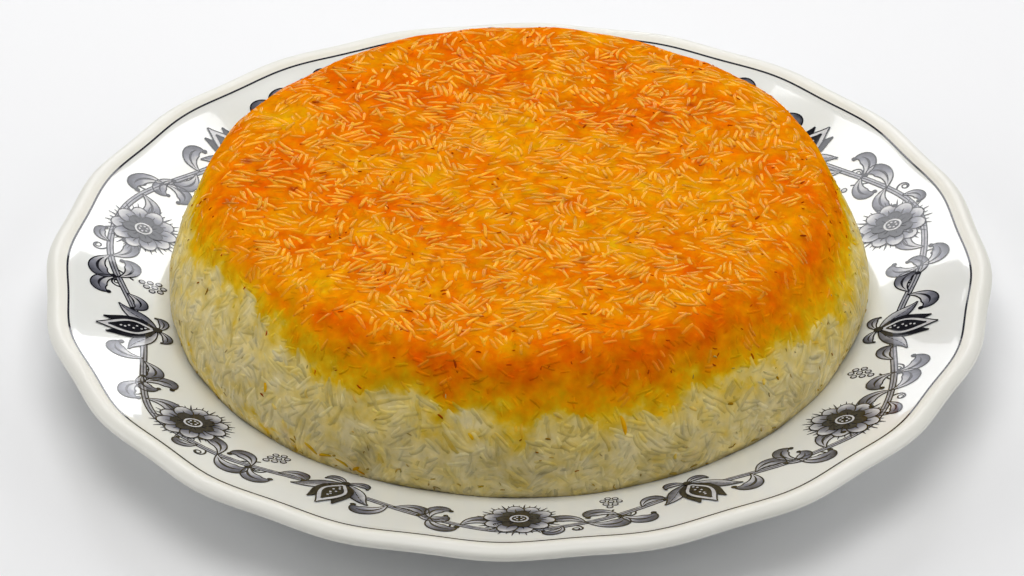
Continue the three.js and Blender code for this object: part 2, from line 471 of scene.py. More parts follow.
plateSet = {
    "rimRadius": 148.9,
    "lipWidth": 6.5,
    "lipHeight": 4,
    "lipCentreHeight": 24,
    "wellRadius": 88,
    "wellHeight": 5.6,
    "flangeStart": 108,
    "flangeStartHeight": 12.85,
    "flangeSlope": 0.35,
    "flangeThickness": 4.6,
    "footOuter": 93,
    "footInner": 87,
    "footWidth": 4,
    "recess": 1.8,
    "lobes": 20,
    "lobeDepth": 0.65,
    "firstLobe": 15.63,
    "lobeFadeStart": 118,
    "lobeFadeEnd": 142,
    "steps": 300,
}


def plateUpperLine(opts):
    # the upper side, from the middle out to the lip's underside
    lipInner = opts["rimRadius"] - opts["lipWidth"]
    lipInnerHeight = opts["flangeStartHeight"] + opts["flangeSlope"] * (lipInner - opts["flangeStart"])
    cove = (opts["flangeStart"] - opts["wellRadius"]) * 0.45
    start = (opts["flangeStart"], opts["flangeStartHeight"])
    well = [(x, opts["wellHeight"]) for x in (0, 20, 40, 60, 75)]
    bend = bezierPoints(
        (opts["wellRadius"], opts["wellHeight"]), (opts["wellRadius"] + cove, opts["wellHeight"]),
        (start[0] - cove, start[1] - opts["flangeSlope"] * cove), start, 8)
    flange = np.linspace(start, (lipInner, lipInnerHeight), 12)[1:]
    lip = arcPoints((opts["rimRadius"] - opts["lipWidth"] / 2, opts["lipCentreHeight"]),
                    opts["lipWidth"] / 2, opts["lipHeight"] / 2, 128, -90, 22)
    return np.vstack([well, bend, flange, lip])


def plateUnderLine(opts):
    # the underside, from below the lip in to the middle
    def under(radius, thickness):
        return radius, opts["flangeStartHeight"] + opts["flangeSlope"] * (radius - opts["flangeStart"]) - thickness
    lipInner = opts["rimRadius"] - opts["lipWidth"]
    flange = np.linspace(under(lipInner - 3, opts["flangeThickness"]),
                         under(opts["flangeStart"] + 4, opts["flangeThickness"] * 1.1), 8)
    outer = opts["footOuter"]
    inner = opts["footInner"]
    toFoot = bezierPoints(flange[-1], flange[-1] - np.array((7, 2.6)), (outer + 4.5, 3.6), (outer + 1.2, 1.4), 6)[1:]
    foot = [(outer, 0.6), (outer - 0.5, 0.1), (outer - 1, 0), (outer - 1 - opts["footWidth"], 0),
            (outer - 1.5 - opts["footWidth"], 0.1), (inner, 0.9), (inner - 0.8, opts["recess"])]
    recess = [(x, opts["recess"]) for x in (70, 45, 20, 0)]
    return np.vstack([flange, toFoot, foot, recess])


def lobeStretch(radius, angle, opts=plateSet):
    fade = smoothStep(opts["lobeFadeStart"], opts["lobeFadeEnd"], radius)
    wave = np.cos(opts["lobes"] * (angle - math.radians(opts["firstLobe"])))
    return 1 + opts["lobeDepth"] * fade * wave / opts["rimRadius"]


plateUpper = plateUpperLine(plateSet)
plateUpperOpen = plateUpper[:26]  # up to the start of the lip's curl, where the radius still grows


def plateTop(radius):
    return np.interp(radius, plateUpperOpen[:, 0], plateUpperOpen[:, 1])


def plateSurface(radius, angle, lift):
    stretch = lobeStretch(radius, angle)
    return np.stack([radius * stretch * np.cos(angle), radius * stretch * np.sin(angle), plateTop(radius) + lift], axis=1)


def makePlate(opts, material, lipMaterial):
    outline = np.vstack([plateUpper, plateUnderLine(opts)])
    plate = spunBody("china_plate", outline * mm, opts["steps"])
    places = pointsOf(plate) / mm
    radius = np.hypot(places[:, 0], places[:, 1])
    angle = np.arctan2(places[:, 1], places[:, 0])
    stretch = lobeStretch(radius, angle)
    places[:, 0] *= stretch
    places[:, 1] *= stretch
    setPoints(plate, places * mm)
    plate.data.materials.append(material)
    plate.data.materials.append(lipMaterial)
    # the lip's glaze is duller than the rest, worn by stacking
    for face in plate.data.polygons:
        if math.hypot(face.center.x, face.center.y) > (opts["rimRadius"] - opts["lipWidth"]) * mm:
            face.material_index = 1
    smoothShade(plate, 40)
    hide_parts("plate")
    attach(plate, "root")
    return plate


# the printed border, drawn flat and laid on the flange

borderSet = {
    "repeats": 7,
    "middleRadius": 127.0,
    "lift": 0.05,
    "liftEach": 0.03,       # each layer of ink over the one below
    "thickness": 0.04,
    "outline": 0.45,
    "vineSwing": 6.6,
    "lineRadius": 142.25,
    "lineWidth": 0.62,
    "lineTone": 0.22,
}


def newInk():
    return {"places": [], "levels": [], "tones": [], "faces": []}


def inkStrip(ink, left, right, tone, level):
    # a strip between two lines; tone is one value, or one for each pair of points, or one for each point
    start = len(ink["places"])
    tones = np.asarray(tone, float)
    if tones.ndim < 2:
        tones = np.broadcast_to(tones, (len(left),))
        tones = np.stack([tones, tones], axis=1)
    for a, b, t in zip(left, right, tones):
        ink["places"] += [tuple(a), tuple(b)]
        ink["tones"] += list(t)
        ink["levels"] += [level, level]
    for i in range(start, start + 2 * len(left) - 2, 2):
        ink["faces"].append((i, i + 1, i + 3, i + 2))


def sidesOf(path, widths):
    path = np.asarray(path, float)
    ahead = np.gradient(path, axis=0)
    ahead /= np.maximum(np.linalg.norm(ahead, axis=1), 1e-9)[:, None]
    aside = np.stack([-ahead[:, 1], ahead[:, 0]], axis=1)
    half = np.broadcast_to(np.asarray(widths, float), (len(path),))[:, None] / 2
    return path + aside * half, path - aside * half


def inkStroke(ink, path, widths, tone, level):
    left, right = sidesOf(path, widths)
    inkStrip(ink, left, right, tone, level)


def inkLeaf(ink, spine, widths, toneLeft, toneRight, level=0, edge=None):
    # a filled shape along a spine, shaded across, with a fine dark edge all round
    left, right = sidesOf(spine, widths)
    tones = np.stack(np.broadcast_arrays(toneLeft, toneRight, np.zeros(len(left)))[:2], axis=1)
    inkStrip(ink, left, right, tones, level)
    ring = np.vstack([left, right[::-1], left[:1]])
    inkStroke(ink, ring, edge or borderSet["outline"], 0.04, level + 1)


def inkDot(ink, centre, radius, tone, level, corners=12):
    start = len(ink["places"])
    ink["places"].append(tuple(centre))
    for i in range(corners):
        angle = 2 * math.pi * i / corners
        ink["places"].append((centre[0] + radius * math.cos(angle), centre[1] + radius * math.sin(angle)))
        ink["faces"].append((start, start + 1 + i, start + 1 + (i + 1) % corners))
    ink["tones"] += [tone] * (corners + 1)
    ink["levels"] += [level] * (corners + 1)


def curl(start, heading, length, bendStart, bendEnd, steps=22):
    # a line whose bend changes evenly along it: heading and bends in degrees, bends over the whole length
    t = np.linspace(0, 1, steps)
    turned = np.radians(heading + bendStart * t + (bendEnd - bendStart) * t ** 2 / 2)
    stepLength = length / (steps - 1)
    across = np.concatenate([[0], np.cumsum(np.cos(turned[:-1]))]) * stepLength
    up = np.concatenate([[0], np.cumsum(np.sin(turned[:-1]))]) * stepLength
    return np.stack([start[0] + across, start[1] + up], axis=1)


def swell(steps, width, fullest, tip=0.25):
    # widths of a leaf: thin stem, fullest part, thin end
    t = np.linspace(0, 1, steps)
    shape = np.where(t < fullest, t / fullest, (1 - t) / (1 - fullest))
    return tip + (width - tip) * np.sin(shape * math.pi / 2) ** 1.3


def inkScrollLeaf(ink, start, heading, length, bend, width, side, level=0):
    # a leaf that curls over at its end, dark along its outer edge and pale along the inner one
    spine = curl(start, heading, length, bend * 0.2 * side, bend * 2.0 * side, 26)
    t = np.linspace(0, 1, 26)
    dark = 0.95 - 0.60 * smoothStep(0.1, 0.75, t)
    pale = 1.0 - 0.35 * smoothStep(0.3, 1.0, t)
    left, right = (pale, dark) if side > 0 else (dark, pale)
    inkLeaf(ink, spine, swell(26, width, 0.66), left, right, level)
    inkStroke(ink, spine[3:21], swell(18, width * 0.16, 0.6, 0.10), 0.10, level + 2)
    inkDot(ink, spine[-1], width * 0.17, 0.04, level + 2)


def inkTendril(ink, start, heading, length, side):
    inkStroke(ink, curl(start, heading, length, 60 * side, 1150 * side, 44), swell(44, 0.6, 0.2, 0.38), 0.12, 0)


def inkPetals(ink, centre, inner, outer, count, spread, tones, turn, level):
    # a ring of round-ended petals; every second one lies on top of its neighbours
    steps = 12
    t = np.linspace(0, 1, steps)
    width = spread * np.sqrt(np.clip(np.sin(math.pi * (0.06 + 0.92 * t ** 1.1)), 0, 1)) + 0.15
    for i in range(count):
        heading = math.radians(360 * i / count + turn)
        direction = np.array((math.cos(heading), math.sin(heading)))
        spine = np.asarray(centre) + direction * (inner + (outer - inner) * t)[:, None]
        shade = np.linspace(*tones, steps)
        inkLeaf(ink, spine, width, shade, shade + 0.12, level + (i % 2) * 2)
        inkStroke(ink, spine[1:8], swell(7, spread * 0.13, 0.3, 0.08), 0.08, level + 4)


def inkRosette(ink, centre, radius):
    # a fringe of fine strokes, ten pale petals, seven dark ones and a ringed heart
    for i in range(40):
        angle = 2 * math.pi * i / 40
        direction = np.array((math.cos(angle), math.sin(angle)))
        reach = radius * (1.20 if i % 2 else 1.10)
        path = np.asarray(centre) + direction * np.linspace(radius * 0.8, reach, 4)[:, None]
        inkStroke(ink, path, (0.75, 0.62, 0.42, 0.12), 0.30, 2)
    inkPetals(ink, centre, radius * 0.35, radius, 10, radius * 0.52, (0.22, 1.0), 9, 3)
    inkPetals(ink, centre, radius * 0.12, radius * 0.62, 7, radius * 0.38, (0.0, 0.10), 25, 8)
    inkDot(ink, centre, radius * 0.27, 0.98, 13, 18)
    inkDot(ink, centre, radius * 0.21, 0.0, 14, 18)
    for i in range(6):
        angle = 2 * math.pi * i / 6
        place = (centre[0] + radius * 0.12 * math.cos(angle), centre[1] + radius * 0.12 * math.sin(angle))
        inkDot(ink, place, radius * 0.035, 1.0, 15, 8)


def inkTulip(ink, base, heading, size):
    # pale petals bend outwards, dark ones stand behind the middle petal, which has a dark seeded heart
    for side in (-1, 1):
        spine = curl(base, heading + 66 * side, size * 1.12, -95 * side, 90 * side, 18)
        inkLeaf(ink, spine, swell(18, size * 0.34, 0.5), 0.40, 1.0, 3)
        for along in range(4, 15, 2):
            inkStroke(ink, [spine[along], spine[along] + (spine[along + 1] - spine[along - 1]) * 0.8], 0.3, 0.1, 5)
        spine = curl(base, heading + 32 * side, size * 1.10, -66 * side, 20 * side, 16)
        inkLeaf(ink, spine, swell(16, size * 0.40, 0.42), 0.0, 0.06, 6)
    spine = curl(base, heading, size * 1.22, 0, 0, 16)
    inkLeaf(ink, spine, swell(16, size * 0.56, 0.40), 0.97, 1.0, 8)
    inkLeaf(ink, spine[2:13], swell(11, size * 0.38, 0.40), 0.0, 0.04, 10)
    for along, aside in ((3, 0.0), (4, 0.045), (5, -0.05), (6, 0.05), (7, -0.03), (8, 0.02), (9, 0.0)):
        place = spine[along] + aside * size * np.array((1.0, 0.0))
        inkDot(ink, place, size * 0.026, 1.0, 12, 8)
    for side in (-1, 1):
        inkScrollLeaf(ink, base, heading + 135 * side, size * 0.62, 120, size * 0.20, -side, 3)
    inkDot(ink, base, size * 0.10, 0.02, 13)


def inkBerries(ink, centre, heading, spacing):
    angle = math.radians(heading)
    for along, aside in ((0, 0), (0.9, 0.6), (0.9, -0.6), (1.8, 0), (1.9, 1.1), (1.9, -1.1), (2.8, 0.5), (2.8, -0.5)):
        place = (centre[0] + spacing * (along * math.cos(angle) - aside * math.sin(angle)),
                 centre[1] + spacing * (along * math.sin(angle) + aside * math.cos(angle)))
        inkDot(ink, place, spacing * 0.48, 0.10, 1)
        inkDot(ink, place, spacing * 0.30, 0.92, 2)


def inkUnit(opts):
    # one repeat of the border: a wave of vine with a rosette in one bay and a tulip in the other
    ink = newInk()
    length = 2 * math.pi * opts["middleRadius"] / opts["repeats"]
    quarter = length / 4

    def onVine(place):
        return quarter * place, opts["vineSwing"] * math.sin(math.pi / 2 * place)

    across = np.linspace(0, 4, 71)
    vine = np.array([onVine(place) for place in across])
    inkStroke(ink, vine, 2.3, 0.04, 0)
    inkStroke(ink, vine, 1.5, 0.80, 1)
    inkStroke(ink, vine, 0.35, 0.30, 2)
    inkRosette(ink, (quarter * 1.0, -2.4), 10.6)
    inkTulip(ink, (quarter * 2.97, -11.6), 90, 15.2)
    leaves = (
        (0.10, 1, 84, 14.0, 150, 5.2), (0.42, -1, -66, 14.5, 150, 5.4), (0.10, -1, -112, 13.0, 155, 5.0),
        (1.66, -1, -118, 13.5, -140, 5.0), (1.66, 1, 42, 15.0, 150, 5.6), (2.02, 1, 70, 14.0, 150, 5.2),
        (2.02, -1, -126, 13.0, -150, 5.0), (2.30, -1, -66, 11.5, 150, 4.4), (3.66, -1, -34, 13.5, 150, 5.0),
        (3.60, 1, 100, 14.5, -150, 5.4), (1.42, 1, 100, 9.0, -150, 3.6), (3.95, 1, 40, 12.0, 150, 4.4),
    )
    for place, side, heading, size, bend, width in leaves:
        inkScrollLeaf(ink, onVine(place), heading, size, abs(bend), width, -side if bend > 0 else side, 1)
    for place, side, heading, size in ((0.30, 1, 60, 13), (1.50, 1, 20, 14), (2.20, 1, 88, 13), (3.85, -1, -100, 13)):
        inkTendril(ink, onVine(place), heading, size, side)
    inkStroke(ink, curl(onVine(1.86), -62, 7.5, 20, 0, 8), 0.6, 0.1, 0)
    inkBerries(ink, (quarter * 1.99, -7.4), -70, 2.4)
    return ink


def makeBorder(opts, material):
    unit = inkUnit(opts)
    flat = np.array(unit["places"])
    levels = np.array(unit["levels"], float)
    tones = np.array(unit["tones"])
    places, toneRows, faces = [], [], []
    for repeat in range(opts["repeats"]):
        angle = flat[:, 0] / opts["middleRadius"] + 2 * math.pi * repeat / opts["repeats"]
        first = len(flat) * repeat
        places.append(plateSurface(opts["middleRadius"] + flat[:, 1], angle, opts["lift"] + opts["liftEach"] * levels))
        toneRows.append(tones)
        faces += [tuple(first + i for i in face) for face in unit["faces"]]
    # the fine line inside the lip
    first = len(flat) * opts["repeats"]
    turns = 480
    angle = np.linspace(0, 2 * math.pi, turns, endpoint=False)
    for side in (-0.5, 0.5):
        places.append(plateSurface(np.full(turns, opts["lineRadius"] + side * opts["lineWidth"]), angle, opts["lift"]))
        toneRows.append(np.full(turns, opts["lineTone"]))
    for i in range(turns):
        after = (i + 1) % turns
        faces.append((first + i, first + turns + i, first + turns + after, first + after))
    border = meshFromArrays("printed_border", np.vstack(places), faces)
    setMasks(border, "tone", np.concatenate(toneRows)[:, None])
    border.data.materials.append(material)
    pick(border)
    bpy.ops.object.mode_set(mode="EDIT")
    bpy.ops.mesh.select_all(action="SELECT")
    bpy.ops.mesh.normals_make_consistent(inside=False)
    bpy.ops.object.mode_set(mode="OBJECT")
    solidify = border.modifiers.new("thickness", "SOLIDIFY")
    solidify.thickness = opts["thickness"] * mm
    solidify.offset = -1
    bpy.ops.object.modifier_apply(modifier="thickness")
    smoothShade(border, 30)
    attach(border, "root")
    return border


# the cake's skin: its outline, and a map of it that is flat on top and runs down the wall

cakeSet = {
    "offset": 3.6,
    "top": 54.5,
    "flatRadius": 88.6,
    "shoulder": 12.8,
    "draft": 25.5,
    "bellyRadius": 111,
    "bellyHeight": 21,
    "baseRadius": 109.6,
    "baseHeight": 11,
    "saffronHeight": 36.8,
    "saffronRise": 9,
    "saffronRiseAngle": 208,
    "saffronBackRise": 3.5,
    "saffronBackAngle": 70,
}


def wallLine(opts):
    # from the edge of the flat crust down to the foot
    draft = math.radians(opts["draft"])
    centre = (opts["flatRadius"], opts["top"] - opts["shoulder"])
    shoulder = arcPoints(centre, opts["shoulder"], opts["shoulder"], 90, opts["draft"], 16)
    foot = shoulder[-1]
    lean = (foot[1] - opts["bellyHeight"]) * 0.4
    belly = (opts["bellyRadius"], opts["bellyHeight"])
    wall = bezierPoints(foot, (foot[0] + lean * math.tan(draft), foot[1] - lean),
                        (belly[0], belly[1] + lean * 0.7), belly, 24)
    middle = (opts["baseHeight"] + opts["bellyHeight"]) / 2
    pull = (opts["bellyRadius"], middle)
    tuck = bezierPoints(belly, (belly[0], middle + 1.7), (pull[0] - 0.47, pull[1] - 1.7),
                        (opts["baseRadius"], opts["baseHeight"]), 12)
    return np.vstack([shoulder, wall[1:], tuck[1:]])


def makeSkinTable(opts):
    # for each distance along the skin from the middle of the crust: radius, height and outward normal
    flat = np.stack([np.linspace(0, opts["flatRadius"], 24)[:-1], np.full(23, opts["top"])], axis=1)
    line = np.vstack([flat, wallLine(opts)])
    along = np.concatenate([[0], np.cumsum(np.hypot(*np.diff(line, axis=0).T))])
    even = np.linspace(0, along[-1], 700)
    radius = np.interp(even, along, line[:, 0])
    height = np.interp(even, along, line[:, 1])
    outward = -np.gradient(height)
    upward = np.gradient(radius)
    length = np.hypot(outward, upward)
    return {"along": even, "radius": radius, "height": height, "outward": outward / length, "upward": upward / length}


skin = makeSkinTable(cakeSet)
skinEnd = skin["along"][-1]


def unevenness(angle, height):
    broad = 0.35 * np.sin(5 * angle + height * 0.11) + 0.25 * np.sin(9 * angle + 2.3)
    return broad + 0.2 * np.sin(23 * angle - height * 0.35)


def crustRelief(x, y):
    return 0.3 * np.sin(x * 0.071 + 1.3) * np.cos(y * 0.083) + 0.2 * np.sin(x * 0.13 - y * 0.11)


def skinPoint(along, angle, lift=0.0):
    # a point on the skin and the normal there
    radius = np.interp(along, skin["along"], skin["radius"])
    height = np.interp(along, skin["along"], skin["height"])
    outward = np.interp(along, skin["along"], skin["outward"])
    upward = np.interp(along, skin["along"], skin["upward"])
    flatness = 1 - smoothStep(0.6, 1.02, along / cakeSet["flatRadius"])
    rough = lift + unevenness(angle, height) * (1 - flatness)
    relief = crustRelief(radius * np.cos(angle), radius * np.sin(angle)) * flatness
    x = (radius + outward * rough) * np.cos(angle)
    y = (radius + outward * rough) * np.sin(angle) + cakeSet["offset"]
    z = height + upward * rough + relief
    place = np.stack([x, y, z], axis=-1)
    normal = np.stack([outward * np.cos(angle), outward * np.sin(angle), upward], axis=-1)
    return place, normal


def alongAtHeight(height):
    return np.interp(-height, -skin["height"], skin["along"])


def bump(angle, centre, narrowness):
    return ((1 + np.cos(angle - math.radians(centre))) / 2) ** narrowness


def layerHeight(angle, opts=cakeSet):
    rise = opts["saffronRise"] * bump(angle, opts["saffronRiseAngle"], 6)
    backRise = opts["saffronBackRise"] * bump(angle, opts["saffronBackAngle"], 3)
    ragged = 0.9 * np.sin(7 * angle + 1.1) + 0.6 * np.sin(13 * angle + 0.4)
    return opts["saffronHeight"] + rise + backRise + ragged


def footAlong(angle, clearance):
    # how far along the skin the wall meets the plate
    along = np.full(len(angle), skinEnd)
    for _ in range(6):
        place, _ = skinPoint(along, angle)
        along = alongAtHeight(plateTop(np.hypot(place[:, 0], place[:, 1])) + clearance)
    return along


# where the saffron and the browning lie, and where painted shade darkens the foot and the hollows between grains

stainSet = {
    "bandHeight": 14.5,      # from the yellow edge up to the orange
    "yellow": 0.215,
    "tint": 0.14,            # the white rice just below the edge
    "tintDepth": 7.5,
    "edgeRaggedness": 1.8,
    "sideStain": 0.66,
    "frontDepth": 0.33,      # the front shoulder is the deepest orange
    "topStain": 0.67,
    "topLightest": 0.33,
    "topDeepest": 0.92,
    "broadPatches": 0.095,
    "middlePatches": 0.06,
    "smallPatches": 0.085,
    "backDepth": 0.10,      # the far side of the crust is a little deeper
}

# x, y, radius and strength of patches on the crust: plus is deeper orange, minus is more golden
crustPatches = (
    (32, 66, 9, 0.16), (23, 39, 7, 0.18), (-56, -80, 12, 0.16), (-20, -84, 10, 0.16), (59, -76, 11, 0.18),
    (87, -12, 9, 0.10), (12, -86, 10, 0.14), (-75, 12, 13, 0.12), (-30, 60, 12, 0.08), (60, 40, 12, 0.10),
    (34, -28, 15, -0.27), (14, 71, 9, -0.14), (-78, 40, 13, -0.16), (-15, -19, 16, -0.10), (57, -6, 12, -0.09),
    (-42, -33, 11, -0.08), (0, 30, 12, -0.10), (10, 8, 14, -0.12),
)
# x, y, radius and strength of the browned spots
toastSpots = (
    (56, 45, 2.6, 0.50), (48, 40, 2.0, 0.45), (72, 34, 1.8, 0.4), (-55, 10, 2.0, 0.45), (-60, 5, 1.8, 0.4),
    (-85, 13, 2.4, 0.6), (-70, -3, 2.2, 0.5), (-65, 48, 2.0, 0.5), (23, 39, 3, 0.30), (32, 66, 3, 0.35),
    (-56, -84, 4, 0.25), (40, 20, 2, 0.35), (-20, 45, 2, 0.35), (70, -40, 2.5, 0.4), (-35, -60, 2, 0.35),
)


# angle, half width and depth of the places where the yellow edge dips, or rises where the depth is negative
edgeDips = ((269, 4.5, 1.6), (258, 2.5, 2.0), (336, 4.0, 4.0), (294, 3.0, 1.5), (300, 2.5, -2.5), (276, 2.5, -2.0),
            (240, 3.0, 2.5), (192, 4.0, 2.5), (216, 3.0, -2.0), (354, 3.0, 2.0))
# angle, half width and strength of the painted shadow in the gaps between the cake's foot and the plate
footGapShadows = ((206, 7, 1.0), (219, 5, 0.9), (231, 4, 0.7), (249, 3, 0.7), (268, 3, 0.4), (296, 6, 0.9), (308, 5, 1.0),
            (315, 3, 0.6), (341, 5, 0.9), (187, 5, 0.6))


def ringSum(angle, spots):
    # bumps at angles round the cake
    total = np.zeros(len(angle))
    for centre, width, strength in spots:
        away = (np.degrees(angle) - centre + 180) % 360 - 180
        total += strength * np.exp(-(away / width) ** 2)
    return total


# painted shade near the foot, darkest where the cake stands off the plate
def footShade(places):
    angle = np.arctan2(places[:, 1] - cakeSet["offset"], places[:, 0])
    above = places[:, 2] - plateTop(np.hypot(places[:, 0], places[:, 1]))
    return smoothStep(2.4, 0.3, above) * np.clip(0.2 + ringSum(angle, footGapShadows), 0, 1)


def patchSum(places, patches):
    total = np.zeros(len(places))
    for x, y, size, strength in patches:
        distance = np.hypot(places[:, 0] - x, places[:, 1] - y)
        total += strength * np.exp(-(distance / size) ** 2)
    return total


def makeSpots(count, reach, angles, longs, shorts, strengths):
    # soft long spots on the skin, between two distances along it and two angles in degrees
    along = np.sqrt(dice.uniform(reach[0] ** 2, reach[1] ** 2, count))
    angle = np.radians(dice.uniform(*angles, count))
    centre, _ = skinPoint(along, angle)
    heading = dice.uniform(0, math.pi, count)
    ahead, _ = skinPoint(along + 0.5 * np.cos(heading), angle + 0.5 * np.sin(heading) / np.maximum(along, 5))
    direction = ahead - centre
    direction /= np.linalg.norm(direction, axis=1)[:, None]
    return list(zip(centre, direction, dice.uniform(*longs, count), dice.uniform(*shorts, count),
                    dice.uniform(*strengths, count)))


def spotSum(places, spots):
    total = np.zeros(len(places))
    for centre, direction, long, short, strength in spots:
        near = np.flatnonzero(np.abs(places - centre).max(axis=1) < long * 2.2)
        away = places[near] - centre
        ahead = away @ direction
        aside = (away ** 2).sum(axis=1) - ahead ** 2
        total[near] += strength * np.exp(-(ahead / long) ** 2 - aside / short ** 2)
    return total


# small browned spots, yellow patches in the white rice, and painted shade in the hollows between white grains
crustSpecks = (makeSpots(170, (4, 90), (0, 360), (0.9, 2.0), (0.45, 0.8), (0.35, 0.95))
               + makeSpots(60, (86, 106), (180, 360), (0.9, 2.0), (0.4, 0.7), (0.3, 0.8)))
yellowBits = (makeSpots(26, (106, 134), (0, 360), (1.4, 3.4), (0.7, 1.2), (0.06, 0.16))
              + makeSpots(26, (130, 140), (180, 250), (1.6, 3.6), (0.8, 1.4), (0.08, 0.22)))
footBits = (makeSpots(12, (134, 140), (222, 246), (1.4, 3.2), (0.6, 1.0), (0.10, 0.34))
            + makeSpots(10, (134, 140), (292, 335), (1.2, 2.6), (0.6, 1.0), (0.05, 0.16)))
hollowShadeSpots = makeSpots(80, (106, 138), (0, 360), (0.9, 2.4), (0.5, 0.9), (0.15, 0.45))


def stainAt(places, opts=stainSet):
    # saffron from 0 to 1 and browning from 0 to 1, at points of the cake
    angle = np.arctan2(places[:, 1] - cakeSet["offset"], places[:, 0])
    edge = layerHeight(angle) + opts["edgeRaggedness"] * (0.6 * waves(places, 7, 31) + 0.5 * waves(places, 2.6, 32))
    above = places[:, 2] - edge + ringSum(angle, edgeDips)
    band = opts["bandHeight"] * (1 + 0.25 * waves(places, 14, 33))
    orange = smoothStep(-0.1 * band, 1.15 * band, above)
    depth = opts["sideStain"] + opts["frontDepth"] * bump(angle, 278, 3) + 0.04 * waves(places, 6, 34)
    tint = opts["tint"] * np.exp(np.minimum(above, 0) / opts["tintDepth"]) * (1 + 0.5 * waves(places, 6, 38))
    tint = np.clip(tint + 0.018 * (1 + 1.4 * waves(places, 3.4, 39)), 0, 0.18)
    side = tint + (opts["yellow"] - tint) * smoothStep(-0.6, 0.8, above) + orange * (depth - opts["yellow"])
    top = opts["topStain"] + opts["broadPatches"] * waves(places, 15, 35)
    top += opts["middlePatches"] * waves(places, 8, 40) + opts["smallPatches"] * waves(places, 4, 36) + patchSum(places, crustPatches)
    top += opts["backDepth"] * smoothStep(20, 85, places[:, 1] - 0.5 * places[:, 0])
    top = np.clip(top, opts["topLightest"], opts["topDeepest"])
    onTop = smoothStep(49.5, 54.0, places[:, 2])
    saffron = side * (1 - onTop) + top * onTop
    streaks = smoothStep(1.3, 2.0, waves(places, 5, 37)) * smoothStep(-12, -1, above) * 0.20
    saffron = np.maximum(saffron, streaks) + spotSum(places, yellowBits)
    toast = onTop * smoothStep(0.15, 0.55, patchSum(places, toastSpots))
    toast = toast + spotSum(places, crustSpecks) + spotSum(places, footBits)
    return np.clip(saffron, 0, 1), np.clip(toast, 0, 0.9)


# the cores of the two layers, which the grains lie on

coreSet = {"inset": 0.34, "columns": 360, "wallRows": 30, "crustRows": 70, "plateGap": 0.08}


def makeWhiteCore(opts, material):
    rows = np.linspace(0, 1, opts["wallRows"])
    outline = [(0, 0), (0.5, 0), (0.9, 0)] + [(1, row) for row in rows] + [(0.95, 1), (0.5, 1), (0, 1)]
    core = spunBody("white_rice_core", outline, opts["columns"])
    unit = pointsOf(core)
    outwards = np.hypot(unit[:, 0], unit[:, 1])
    angle = np.arctan2(unit[:, 1], unit[:, 0])
    foot = footAlong(angle, opts["plateGap"])
    edge = alongAtHeight(layerHeight(angle))
    places, _ = skinPoint(foot + (edge - foot) * unit[:, 2], angle, -opts["inset"])
    inner = outwards < 0.99
    centre = np.array((0, cakeSet["offset"], 0))
    places[inner] = centre + (places[inner] - centre) * outwards[inner, None] * (1, 1, 0)
    distance = np.hypot(places[:, 0], places[:, 1])
    level = cakeSet["saffronHeight"] + (layerHeight(angle) - cakeSet["saffronHeight"]) * outwards ** 3
    below = plateTop(distance) + opts["plateGap"]
    places[inner, 2] = np.where(unit[inner, 2] > 0.5, level[inner], below[inner])
    return finishCore(core, places, material, "white_rice")


def makeSaffronCore(opts, material):
    rows = 1 - np.linspace(0, 1, opts["crustRows"]) ** 1.0
    outline = [(0, 0), (0.5, 0), (0.95, 0)] + [(row, 1) for row in rows]
    core = spunBody("saffron_crust_core", outline, opts["columns"])
    unit = pointsOf(core)
    outwards = np.hypot(unit[:, 0], unit[:, 1])
    angle = np.arctan2(unit[:, 1], unit[:, 0])
    edge = alongAtHeight(layerHeight(angle))
    places, _ = skinPoint(edge * outwards, angle, -opts["inset"])
    under = unit[:, 2] < 0.5
    ring, _ = skinPoint(edge, angle, -opts["inset"])
    level = cakeSet["saffronHeight"] + (layerHeight(angle) - cakeSet["saffronHeight"]) * outwards ** 3
    centre = np.array((0, cakeSet["offset"], 0))
    places[under] = centre + (ring[under] - centre) * outwards[under, None] * (1, 1, 0)
    places[under, 2] = level[under]
    return finishCore(core, places, material, "saffron_rice")


def finishCore(core, places, material, node):
    setPoints(core, places * mm)
    saffron, toast = stainAt(places)
    chance = 0.82 + 0.05 * waves(places, 2.2, 41) + 0.06 * waves(places, 5, 42)
    # painted shade in the hollows between grains and at the foot lowers the lightness
    chance = chance - spotSum(places, hollowShadeSpots) - 0.85 * footShade(places)
    setMasks(core, "stain", np.stack([saffron, toast, np.clip(chance, 0, 1)], axis=1))
    core.data.materials.append(material)
    smoothShade(core, 40)
    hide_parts(node)
    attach(core, "root")
    return core


# grains

grainSet = {
    "sides": 6,
    "rings": 7,
    "bluntness": 2.6,
    "length": (7.2, 11.2),
    "width": (1.45, 1.95),
    "thickness": (1.25, 1.55),
    "bend": 0.06,            # sideways, of the length
    "sway": 0.045,           # how far an end swings the other way
    "bundles": (0.34, 0.30, 0.22, 0.14),   # chances of 1, 2, 3 and 4 grains side by side
    "flowShare": 0.62,       # bundles that lie along the flow
    "flowSpread": 15,
    "pitch": 1.75,
    "passes": ((17000, 0.12, 1.0), (24000, 0.34, 0.72)),   # tries, share that may cover others, length
    "lean": 0.09,
}
# how far a grain stands out of the core, lowest and highest; the mould has pressed the white ones flat
standSet = {
    "raised": (0.17, 0.40),
    "raisedShare": 0.62,
    "flankShadeOrange": 0.17,      # the foot of a grain with a painted highlight is painted a deeper orange, as painted shade
    "flankShade": 0.42,      # and darker, also painted shade
    "raisedOnWall": (0.06, 0.24),
    "raisedShareOnWall": 0.08,
    "slim": 1.04,
    "shoulder": (87, 101),   # where the raised grains of the crust thin out
    "flush": (0.0, 0.20),
    # painted highlight on the tops of the flush grains of the crust
    "flushHighlight": 0.55,
    "stained": (0.0, 0.16),
    "white": (0.03, 0.19),
    "whiteCap": 0.12,
    "whiteFlatness": 0.45,
    "whiteWidth": 1.18,
}


